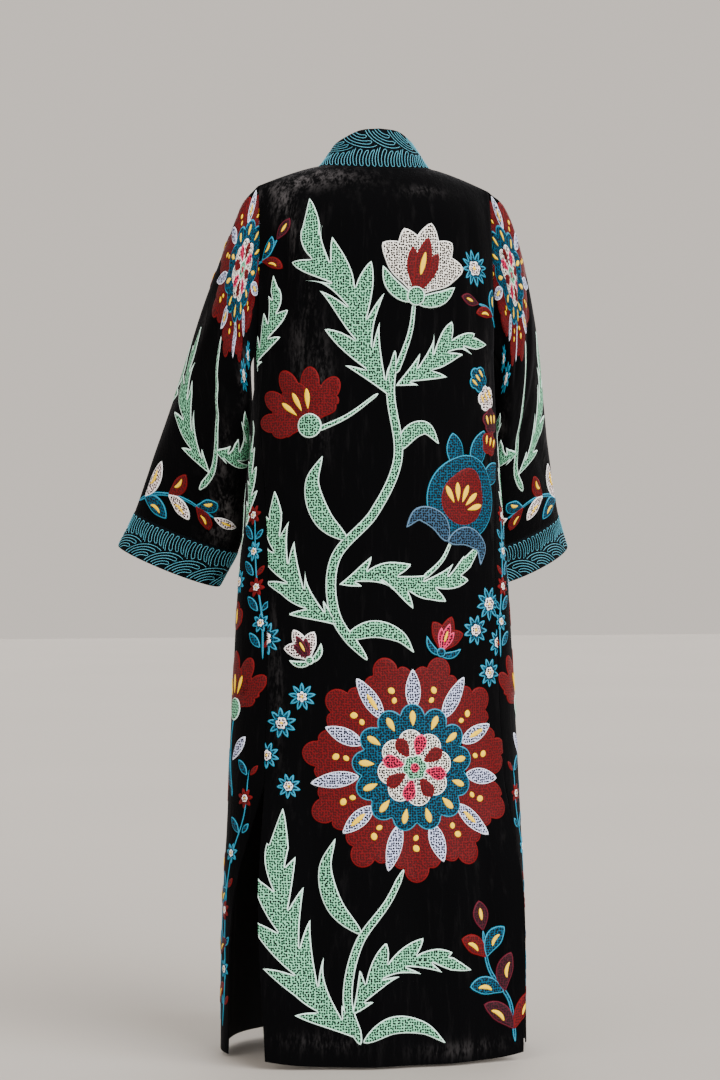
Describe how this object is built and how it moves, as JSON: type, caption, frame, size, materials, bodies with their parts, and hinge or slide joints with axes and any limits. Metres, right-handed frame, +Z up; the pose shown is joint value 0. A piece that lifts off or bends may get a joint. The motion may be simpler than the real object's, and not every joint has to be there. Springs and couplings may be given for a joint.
{
  "type": "abaya",
  "caption": "Floor-length open-front robe of velvet with straight sleeves, turned cuffs, a band that stands as the collar, and side slits.",
  "frame": {"origin": "base of the neck, level with the high points of the shoulders, where the garment rests on its wearer", "axes": "+Z up, -Y the way the wearer faces, +X the wearer's left"},
  "size_m": [0.8184, 0.459, 1.5558],
  "materials": {
    "velvet": "black velvet pile, embroidered with mint green, teal, crimson, plum, white, pink and yellow thread",
    "corded_trim": "dark navy ground worked all over in couched light teal cord"
  },
  "bodies": {
    "root": {"back": "velvet", "front_left": "velvet", "front_right": "velvet", "sleeve_left": "velvet", "sleeve_right": "velvet", "cuff_left": "corded_trim", "cuff_right": "corded_trim", "collar_band": "corded_trim"}
  },
  "joints": []
}
